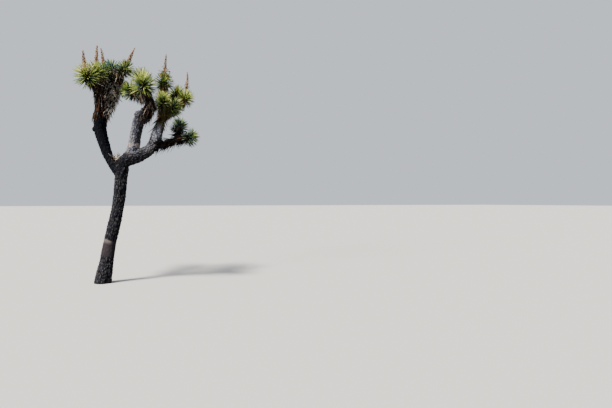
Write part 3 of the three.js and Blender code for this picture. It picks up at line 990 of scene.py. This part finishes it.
class TREE_OT_bark(bpy.types.Operator):
    """Covers the trunk and arms with corky bark"""

    bl_idname = "tree.bark"
    bl_label = "Bark"

    def execute(self, context):
        form = wood_form()
        carve_bark(form)
        material = bark_material(context.scene.bark_finish)
        up = Vector((0, 0, 1))
        ground, trunk_top, left_top, right_top = (
            up * height for height in (0, TRUNK_TOP, LEFT_TOP, RIGHT_TOP)
        )
        fork = Vector(FORK)
        rightward = Vector(RIGHTWARD).normalized()
        planes = {
            "trunk_bark": [(ground, -up), (trunk_top, up)],
            "left_bark": [(fork, rightward), (trunk_top, -up), (left_top, up)],
            "left_arm_bark": [(fork, rightward), (left_top, -up)],
            "right_bark": [(fork, -rightward), (trunk_top, -up), (right_top, up)],
            "right_arm_bark": [(fork, -rightward), (right_top, -up)],
        }
        for name, sides in planes.items():
            piece = cut_piece(form, name, sides)
            if not piece.data.polygons:
                raise RuntimeError(f"{name} came out empty")
            piece.data.materials.clear()
            piece.data.materials.append(material)
            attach(piece, "root")
            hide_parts(*BARK_PIECES[name])
        bpy.data.objects.remove(form)
        return {"FINISHED"}


# Leaves


def model_leaf(name, stations):
    """One leaf, 1 long and 1 wide, flat above and keeled below: a three-sided spike, cut across at
    each station and drawn out there to its width. Gives its vertices, triangles and the band
    between stations that each triangle lies in."""
    bpy.ops.mesh.primitive_cone_add(
        vertices=3,
        radius1=1 / math.sqrt(3),
        radius2=0,
        depth=1,
        location=(0, 0, 0.5),
        rotation=(0, 0, math.pi),
    )
    leaf = bpy.context.object
    leaf.name = name
    select_only(leaf)
    bpy.ops.object.transform_apply(location=True, rotation=True)
    bpy.ops.object.mode_set(mode="EDIT")
    for share, _ in stations[1:]:
        bpy.ops.mesh.select_all(action="SELECT")
        bpy.ops.mesh.bisect(plane_co=(0, 0, share), plane_no=(0, 0, 1))
    bpy.ops.mesh.select_all(action="SELECT")
    bpy.ops.mesh.quads_convert_to_tris()
    bpy.ops.object.mode_set(mode="OBJECT")
    shares, widths = zip(*stations)
    for vertex in leaf.data.vertices:
        left = 1 - vertex.co.z
        if left > 0.001:
            width = np.interp(vertex.co.z, shares, widths) / left
            vertex.co.x *= width
            vertex.co.y *= width
    places = vertices_of(leaf.data)
    triangles = np.array([tuple(face.vertices) for face in leaf.data.polygons])
    middles = places[triangles].mean(axis=1)[:, 2]
    bpy.data.objects.remove(leaf)
    return places, triangles, np.searchsorted(shares[1:], middles)


def grow_leaves(template, roots, along, across, length, width, thickness, bend, droop):
    """Sets a copy of the leaf at each root. bend curves it to its keel's side, droop downwards."""
    places, triangles, _ = template
    upper = np.cross(along, across)
    x, y, t = places[:, 0], places[:, 1], places[:, 2]
    grown = (
        roots[:, None]
        + along[:, None] * (length[:, None] * t)[:, :, None]
        + across[:, None] * (width[:, None] * x)[:, :, None]
        + upper[:, None] * (thickness[:, None] * y)[:, :, None]
        - upper[:, None] * ((bend * length)[:, None] * t**2)[:, :, None]
    )
    grown[:, :, 2] -= (droop * length)[:, None] * t**2
    offsets = np.arange(len(roots)) * len(places)
    faces = triangles[None] + offsets[:, None, None]
    return grown.reshape(-1, 3), faces.reshape(-1, 3)


class LeafHeap:
    """Leaves gathered from arrays into one mesh, with a shade for each face."""

    def __init__(self):
        self.places, self.faces, self.shades = [], [], []
        self.total = 0

    def add(self, template, rows, shades):
        """Grows leaves from rows of grow_leaves' arrays, with a shade for each leaf or face."""
        grown, faces = grow_leaves(template, *rows)
        self.places.append(grown)
        self.faces.append(faces + self.total)
        if shades.ndim == 1:
            shades = np.repeat(shades, len(template[1]))
        self.shades.append(shades.ravel())
        self.total += len(grown)

    def piece(self, name, materials):
        """The heap as a mesh object."""
        faces = np.vstack(self.faces)
        mesh = bpy.data.meshes.new(name)
        mesh.vertices.add(self.total)
        mesh.vertices.foreach_set("co", np.vstack(self.places).astype(np.float32).ravel())
        mesh.loops.add(len(faces) * 3)
        mesh.loops.foreach_set("vertex_index", faces.astype(np.int32).ravel())
        mesh.polygons.add(len(faces))
        mesh.polygons.foreach_set("loop_start", np.arange(0, len(faces) * 3, 3, dtype=np.int32))
        for material in materials:
            mesh.materials.append(material)
        mesh.polygons.foreach_set("material_index", np.concatenate(self.shades).astype(np.int32))
        mesh.update(calc_edges=True)
        mesh.validate()
        piece = bpy.data.objects.new(name, mesh)
        bpy.context.collection.objects.link(piece)
        return piece


def room_for(name, points):
    """For each of a head's points, whether it is clear of the other heads and of the limbs."""
    centre = GROWTHS[name]["centre"]
    own = np.linalg.norm(points - centre, axis=-1)
    free = np.ones(own.shape, bool)
    for other, growth in GROWTHS.items():
        if other == name:
            continue
        free &= np.linalg.norm(points - growth["centre"], axis=-1) > own + 2 * LEAF_CLEARANCE * MM
        if np.linalg.norm(growth["centre"] - centre) < STEMS_NEAR:
            for place in growth["stem"][::2]:
                free &= np.linalg.norm(points - place, axis=-1) > (STEM_RADIUS + LEAF_CLEARANCE) * MM
    near = np.linalg.norm(SKELETON.places[:, :3] - centre, axis=1) < LIMBS_NEAR
    for *place, radius in SKELETON.places[near]:
        free &= np.linalg.norm(points - place, axis=-1) > radius + LEAF_CLEARANCE * MM
    return free


def head_leaves(name, count, random):
    """The roots, directions, lengths and ages of a head's leaves, on a golden spiral from the
    oldest, bent back along the stem, to the youngest, upright at its tip."""
    growth = GROWTHS[name]
    youngest, oldest = (math.cos(math.radians(angle)) for angle in LEAF_SPREAD)
    age = (np.arange(count) + 0.5) / count
    tilt = np.arccos(oldest + (youngest - oldest) * age) + random.normal(0, 0.07, count)
    turn = np.arange(count) * GOLDEN_ANGLE + random.normal(0, 0.08, count)
    round_axis = np.cos(turn)[:, None] * growth["east"] + np.sin(turn)[:, None] * growth["north"]
    direction = np.cos(tilt)[:, None] * growth["axis"] + np.sin(tilt)[:, None] * round_axis
    offset = OLDEST_ROOT + (YOUNGEST_ROOT * 0.5 - OLDEST_ROOT) * age
    root = growth["centre"] + growth["axis"] * offset[:, None] * MM
    reach = growth["reach"] * random.uniform(0.88, 1.04, count)
    tip = growth["centre"] + direction * reach[:, None]
    tests = np.linspace(0.3, 1, 11)
    free = room_for(name, root[:, None] + (tip - root)[:, None] * tests[None, :, None])
    clear = np.where(free.all(axis=1), 1.0, tests[np.argmin(free, axis=1)] - 0.05)
    kept = clear > 0.5
    along = unit(tip - root)
    length = np.linalg.norm(tip - root, axis=1) * clear - LEAF_START * MM
    return (root + along * LEAF_START * MM)[kept], along[kept], length[kept], age[kept]


def deal_shades(mix, count, random):
    """A shade for each of a number of leaves, dealt from a mix."""
    return random.choice(len(mix), count, p=mix)


def shades_by_age(mix, age, random):
    """A shade for each leaf, dealt from a mix so that younger leaves tend to the paler ones and the older,
    lower ones to the darker: painted light above and painted shade below.
    """
    rank = 0.65 * random.uniform(0, 1, len(age)) - 0.35 * age
    share = (np.argsort(np.argsort(rank)) + 0.5) / len(age)
    return np.searchsorted(np.cumsum(mix)[:-1], share)


def full_head(name, template, sizes, random):
    """The rows and shades of a head's leaves. Each is painted darker down to the sheath at its root, as
    painted shade deep in the head, and ends in a hard brown point."""
    root, along, length, age = head_leaves(name, sizes.leaves_per_head, random)
    count = len(root)
    across = unit(np.cross(GROWTHS[name]["axis"], along))
    twist = random.normal(0, 0.3, count)[:, None]
    across = unit(across * np.cos(twist) + np.cross(along, across) * np.sin(twist))
    width = sizes.leaf_width * random.uniform(0.8, 1.15, count)
    bend = random.uniform(-0.02, 0.05, count)
    droop = 0.05 * (1 - age) + random.uniform(0, 0.02, count)
    mix = GROWTHS[name]["living"]
    shade = shades_by_age(mix, age, random)
    if mix is HEAD_MIXES["olive"]:
        young = deal_shades(HEAD_MIXES["young"], count, random)
        shade = np.where(age > 1 - YOUNG_SHARE, young, shade)
    # Painted shade deep in the head: the lower band two shades darker, the sheath near black.
    darker = np.minimum(shade + 2, len(mix) - 1)
    sheath, spine = len(mix), len(mix) + 1
    bands = np.tile(template[2], (count, 1))
    shades = np.repeat(shade[:, None], bands.shape[1], axis=1)
    shades = np.where(bands == 1, darker[:, None], shades)
    shades = np.where(bands == 0, sheath, shades)
    shades = np.where(bands == bands.max(), spine, shades)
    rows = (root, along, across, length, width, width * LEAF_KEEL, bend, droop)
    return rows, shades


def young_bunch(name, template, sizes, random):
    """The rows and shades of a head's upright bunch of young leaves."""
    count, lengths, spread = YOUNG_BUNCHES[name]
    growth = GROWTHS[name]
    root = growth["centre"] + growth["axis"] * 0.030 + random.normal(0, 0.008, (count, 3))
    along = unit(growth["axis"] + random.normal(0, spread, (count, 3)))
    across = unit(np.cross(along, random.normal(0, 1, (count, 3))))
    length = random.uniform(*lengths, count) * MM
    width = sizes.leaf_width * random.uniform(0.9, 1.2, count)
    level = np.zeros(count)
    shade = deal_shades(HEAD_MIXES["young"], count, random)
    rows = (root, along, across, length, width, width * LEAF_KEEL, level, level)
    return rows, np.repeat(shade[:, None], len(template[1]), axis=1)


class TREE_OT_leaves(bpy.types.Operator):
    """Grows the living leaves of every head"""

    bl_idname = "tree.leaves"
    bl_label = "Living leaves"

    def execute(self, context):
        sizes = context.scene.tree_sizes
        template = model_leaf("leaf", LIVING_BLADE)
        materials = shade_materials(context.scene.leaf_shades, 0.45, 0.5)
        materials += shade_materials(context.scene.leaf_ends, 0.6, 0.3)
        for clump, names in CLUMPS.items():
            heap = LeafHeap()
            for name in names:
                random = np.random.default_rng(LEAF_SEED + list(HEADS).index(name))
                heap.add(template, *full_head(name, template, sizes, random))
                if name in YOUNG_BUNCHES:
                    heap.add(template, *young_bunch(name, template, sizes, random))
            piece = heap.piece(clump + "_leaves", materials)
            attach(piece, "root")
            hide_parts(*names)
        return {"FINISHED"}


def surface_points(mesh, to_square_metre, random):
    """Random places spread evenly over a mesh, with the surface's normals there."""
    mesh.calc_loop_triangles()
    triangles = np.empty(len(mesh.loop_triangles) * 3, np.int32)
    mesh.loop_triangles.foreach_get("vertices", triangles)
    corners = vertices_of(mesh)[triangles.reshape(-1, 3)]
    crossed = np.cross(corners[:, 1] - corners[:, 0], corners[:, 2] - corners[:, 0])
    area = np.linalg.norm(crossed, axis=1) / 2
    count = int(area.sum() * to_square_metre)
    chosen = random.choice(len(area), count, p=area / area.sum())
    a, b = random.uniform(0, 1, (2, count, 1))
    a, b = np.where(a + b > 1, 1 - a, a), np.where(a + b > 1, 1 - b, b)
    picked = corners[chosen]
    places = picked[:, 0] + a * (picked[:, 1] - picked[:, 0]) + b * (picked[:, 2] - picked[:, 0])
    return places, unit(crossed[chosen])


def limb_thatch(bark, names, random):
    """Dead leaves on the limbs of one piece of bark, each lying back along its limb."""
    densest = max(row[1] for row in THATCH.values())
    places, normals = surface_points(bark.data, densest, random)
    sample, _ = SKELETON.nearest(places)
    rows = []
    for name in names:
        start, density, lengths, leans, skew, *mixes = THATCH[name]
        here = SKELETON.limb[sample] == SKELETON.names.index(name)
        here &= random.uniform(0, 1, len(places)) < density / densest
        here &= SKELETON.share[sample] > start + random.normal(0, 0.03, len(places))
        picked = np.nonzero(here)[0]
        lean = np.radians(random.uniform(*leans, len(picked)))[:, None]
        back = -SKELETON.tangent[sample[picked]]
        out = unit(normals[picked] - back * np.einsum("ij,ij->i", normals[picked], back)[:, None])
        side = np.cross(back, out) * random.normal(0, skew, (len(picked), 1))
        along = unit(back * np.cos(lean) + out * np.sin(lean) + side)
        length = random.uniform(*lengths, len(picked)) * MM
        low, high = (deal_shades(DEAD_MIXES[mix], len(picked), random) for mix in mixes)
        change = random.uniform(start, start + MIX_CHANGE, len(picked))
        shade = np.where(change < SKELETON.share[sample[picked]], high, low)
        root = places[picked] - out * (ROOT_DEPTH * MM)
        rows.append((root, along, unit(np.cross(out, along)), length, shade))
    return rows


def stem_thatch(name, to_metre, random):
    """Dead leaves round a head's stem, hanging back below the living ones."""
    growth = GROWTHS[name]
    line = growth["stem"]
    length = np.linalg.norm(np.diff(line, axis=0), axis=1).sum()
    count = int(to_metre * max(length, 0.18))
    share = random.uniform(0.12, 0.92, count)
    centre = at_shares(line, share)
    back = -unit(at_shares(unit(np.gradient(line, axis=0)), share))
    turn = random.uniform(0, 2 * math.pi, count)[:, None]
    side = unit(np.cross(back, growth["east"] + 0.01))
    out = side * np.cos(turn) + np.cross(back, side) * np.sin(turn)
    lean = np.radians(random.uniform(12, 50, count) + 30 * np.clip(share - 0.6, 0, 1))[:, None]
    along = unit(back * np.cos(lean) + out * np.sin(lean) + (0, 0, -0.25))
    length = random.uniform(120, 215, count) * MM
    shade = deal_shades(growth["dead"], count, random)
    return centre + out * (STEM_COAT * MM), along, unit(np.cross(out, along)), length, shade


def tuft(place, radius, direction, count, lengths, spread, mix, random):
    """A loose bunch of dead leaves that springs from round one place."""
    root = np.array(place) * MM + random.normal(0, radius * MM / 2, (count, 3))
    along = unit(unit(np.array(direction, float)) + random.normal(0, spread, (count, 3)))
    across = unit(np.cross(along, random.normal(0, 1, (count, 3))))
    length = random.uniform(*lengths, count) * MM
    return root, along, across, length, deal_shades(DEAD_MIXES[mix], count, random)


class TREE_OT_thatch(bpy.types.Operator):
    """Hangs the dead leaves that clothe the arms and the stems of the heads"""

    bl_idname = "tree.thatch"
    bl_label = "Dead leaves"

    def execute(self, context):
        sizes = context.scene.tree_sizes
        template = model_leaf("dead_leaf", DEAD_BLADE)
        materials = shade_materials(context.scene.dead_shades, 0.85, 0.15)
        stems = {"left": CLUMPS["left"], "right": CLUMPS["middle"] + CLUMPS["right"]}
        for side, heads in stems.items():
            random = np.random.default_rng(THATCH_SEEDS[side])
            arms = [name for name in THATCH if ("left" in name) == (side == "left")]
            rows = []
            for bark in (side + "_bark", side + "_arm_bark"):
                rows += limb_thatch(bpy.data.objects[bark], arms, random)
            rows += [stem_thatch(name, sizes.stem_thatch, random) for name in heads]
            rows += [tuft(*row, random) for row in TUFTS[side]]
            root, along, across, length, shade = (
                np.concatenate([row[k] for row in rows]) for k in range(5)
            )
            width = sizes.leaf_width * random.uniform(0.65, 1.05, len(root))
            bend = random.uniform(-0.10, 0.12, len(root))
            droop = random.uniform(0.0, 0.12, len(root))
            heap = LeafHeap()
            heap.add(template, (root, along, across, length, width, width * DEAD_KEEL, bend, droop), shade)
            piece = heap.piece(side + "_thatch", materials)
            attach(piece, "root")
        return {"FINISHED"}


# Flower stalks


class TREE_OT_stalks(bpy.types.Operator):
    """Stands the spent flower stalks on the heads that have flowered"""

    bl_idname = "tree.stalks"
    bl_label = "Flower stalks"

    def execute(self, context):
        rod = model_leaf("stalk_part", STALK_PART)
        pod = model_leaf("dry_pod", DRY_POD)
        materials = shade_materials(context.scene.stalk_shades, 0.8, 0.2)
        heap = LeafHeap()
        for index, growth in enumerate(GROWTHS.values()):
            if growth["stalk"] is not None:
                self.stand_stalk(heap, rod, pod, growth, np.random.default_rng(STALK_SEED + index))
        for index, row in enumerate(SPENT_FLOWERS):
            self.scatter_flowers(heap, pod, row, np.random.default_rng(FLOWER_SEED + index))
        piece = heap.piece("flower_stalks", materials)
        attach(piece, "root")
        return {"FINISHED"}

    def stand_stalk(self, heap, rod, pod, growth, random):
        """One stalk: a tapering stem whose dead branchlets, with their dry pods, stand close
        round it and shorten upwards, so that it ends in a narrow cone."""
        root = growth["centre"] - growth["axis"] * 0.01
        top = growth["stalk"]
        middle = (root + top) / 2 + growth["axis"] * np.linalg.norm(top - root) * 0.06
        line = smooth_curve([root, middle, top], STALK_JOINTS + 1)
        step = np.diff(line, axis=0)
        steps = np.linalg.norm(step, axis=1)
        along = unit(step)
        across = unit(np.cross(along, growth["east"]))
        wide = np.interp(np.linspace(0, 1, STALK_JOINTS), *STALK_WIDTHS)
        zero = np.zeros(STALK_JOINTS)
        shade = deal_shades((0.5, 0.3, 0.2), STALK_JOINTS, random)
        heap.add(rod, (line[:-1], along, across, steps * 2.2, wide, wide, zero, zero), shade)
        count = BRANCHLETS
        share = 0.28 + 0.70 * np.linspace(0, 1, count) ** 1.4
        start = at_shares(line, share)
        upward = unit(top - middle)
        turn = (np.arange(count) * GOLDEN_ANGLE)[:, None]
        out = growth["east"] * np.cos(turn) + growth["north"] * np.sin(turn)
        direction = unit(out + upward * random.uniform(0.9, 1.8, (count, 1)))
        size = np.interp(share, *BRANCHLET_LENGTHS) * random.uniform(0.6, 1.1, count)
        side = unit(np.cross(direction, upward))
        wide = random.uniform(0.006, 0.010, count)
        zero = np.zeros(count)
        shade = deal_shades((0.45, 0.3, 0.25), count, random)
        heap.add(rod, (start, direction, side, size, wide, wide, zero, zero), shade)
        has_pod = random.uniform(0, 1, count) < POD_SHARE
        ends = (start + direction * (size * 0.8)[:, None])[has_pod]
        pods = int(has_pod.sum())
        size = random.uniform(0.018, 0.032, pods)
        zero = np.zeros(pods)
        lean = unit(direction[has_pod] + upward * 0.8)
        shade = deal_shades((0.35, 0.35, 0.30), pods, random)
        heap.add(pod, (ends, lean, side[has_pod], size, size * 0.5, size * 0.45, zero, zero), shade)

    def scatter_flowers(self, heap, pod, row, random):
        """A row of spent flowers."""
        middle, spread, count, shares = row
        place = np.array(middle) * MM + random.normal(0, spread * MM, (count, 3))
        along = unit(random.normal(0, 1, (count, 3)))
        across = unit(np.cross(along, random.normal(0, 1, (count, 3))))
        size = random.uniform(0.022, 0.040, count)
        zero = np.zeros(count)
        shade = deal_shades(shares, count, random)
        heap.add(pod, (place, along, across, size, size * 0.5, size * 0.3, zero, zero), shade)


# Floor, light and camera


def floor_material(stage):
    """A pale matte floor that throws back less light than it shows, so that the undersides of the
    boughs stay dark."""
    material = new_material("pale_floor")
    tree = material.node_tree
    shown = add_node(tree, "ShaderNodeBsdfDiffuse", {"Color": (*stage.floor_colour, 1)})
    thrown = add_node(tree, "ShaderNodeBsdfDiffuse", {"Color": (*stage.floor_glow, 1)})
    seen = add_node(tree, "ShaderNodeLightPath").outputs["Is Camera Ray"]
    both = add_node(tree, "ShaderNodeMixShader", {0: seen, 1: thrown.outputs[0], 2: shown.outputs[0]})
    add_node(tree, "ShaderNodeOutputMaterial", {"Surface": both.outputs[0]})
    return material


def add_sun(name, place, direction, strength, softness):
    """A sun that shines in a direction, softened over an angle in degrees."""
    bpy.ops.object.light_add(type="SUN", location=place)
    sun = bpy.context.object
    sun.name = name
    sun.data.energy = strength
    sun.data.angle = math.radians(softness)
    sun.rotation_euler = Vector(direction).to_track_quat("-Z", "Y").to_euler()
    return sun.data


class TREE_OT_stage(bpy.types.Operator):
    """Lays the pale floor and sets the lights and the camera"""

    bl_idname = "tree.stage"
    bl_label = "Stage"

    def execute(self, context):
        stage = context.scene.tree_stage
        select_only()
        bpy.ops.mesh.primitive_plane_add(size=400, location=(0, 0, 0))
        floor = context.object
        floor.name = "floor"
        floor.data.materials.append(floor_material(stage))
        world = bpy.data.worlds.new("soft_sky")
        context.scene.world = world
        world.use_nodes = True
        tree = world.node_tree
        tree.nodes.clear()
        # The backdrop that shows is paler than the light that the sky gives.
        light = add_node(
            tree,
            "ShaderNodeBackground",
            {"Color": (*stage.sky_colour, 1), "Strength": stage.sky_strength},
        )
        backdrop = add_node(
            tree,
            "ShaderNodeBackground",
            {"Color": (*stage.backdrop_colour, 1), "Strength": 1.0},
        )
        seen = add_node(tree, "ShaderNodeLightPath").outputs["Is Camera Ray"]
        both = add_node(
            tree,
            "ShaderNodeMixShader",
            {0: seen, 1: light.outputs[0], 2: backdrop.outputs[0]},
        )
        add_node(tree, "ShaderNodeOutputWorld", {"Surface": both.outputs[0]})
        key = add_sun("key_light", (-4, -3, 9), KEY_DIRECTION, stage.key_strength, stage.key_softness)
        key.color = stage.key_colour
        add_sun("fill_light", (-6, -5, 3), FILL_DIRECTION, stage.fill_strength, stage.fill_softness)
        bpy.ops.object.camera_add(location=(0, -stage.camera_distance, stage.eye_height))
        camera = context.object
        camera.name = "camera"
        camera.rotation_euler = (math.pi / 2, 0, -math.radians(stage.camera_turn))
        camera.data.lens = stage.focal_length
        camera.data.sensor_width = 36
        # The horizon lies 2 pixels above the middle of a picture 612 pixels wide.
        camera.data.shift_y = -2 / 612
        camera.data.dof.use_dof = False
        context.scene.camera = camera
        return {"FINISHED"}


# Panel and registration


class TREE_PT_panel(bpy.types.Panel):
    """Shows the tree's settings and the buttons that build its pieces"""

    bl_idname = "TREE_PT_panel"
    bl_label = "Joshua Tree"
    bl_space_type = "VIEW_3D"
    bl_region_type = "UI"
    bl_category = "Joshua Tree"

    def draw(self, context):
        for group in SETTINGS:
            settings = getattr(context.scene, group)
            for name in type(settings).__annotations__:
                self.layout.prop(settings, name)
        for operator in OPERATORS:
            self.layout.operator(operator.bl_idname)


OPERATORS = (TREE_OT_bark, TREE_OT_leaves, TREE_OT_thatch, TREE_OT_stalks, TREE_OT_stage)
SETTINGS = {
    "tree_sizes": TreeSizes,
    "leaf_shades": LeafShades,
    "leaf_ends": LeafEnds,
    "dead_shades": DeadShades,
    "stalk_shades": StalkShades,
    "bark_finish": BarkFinish,
    "tree_stage": TreeStage,
}


def register():
    for kind in (*SETTINGS.values(), *OPERATORS, TREE_PT_panel):
        bpy.utils.register_class(kind)
    for name, kind in SETTINGS.items():
        setattr(bpy.types.Scene, name, PointerProperty(type=kind))


def unregister():
    for name in SETTINGS:
        delattr(bpy.types.Scene, name)
    for kind in (TREE_PT_panel, *reversed(OPERATORS), *SETTINGS.values()):
        bpy.utils.unregister_class(kind)


def main():
    register()
    bpy.ops.tree.bark()
    bpy.ops.tree.leaves()
    bpy.ops.tree.thatch()
    bpy.ops.tree.stalks()
    bpy.ops.tree.stage()


if __name__ == "__main__":
    main()
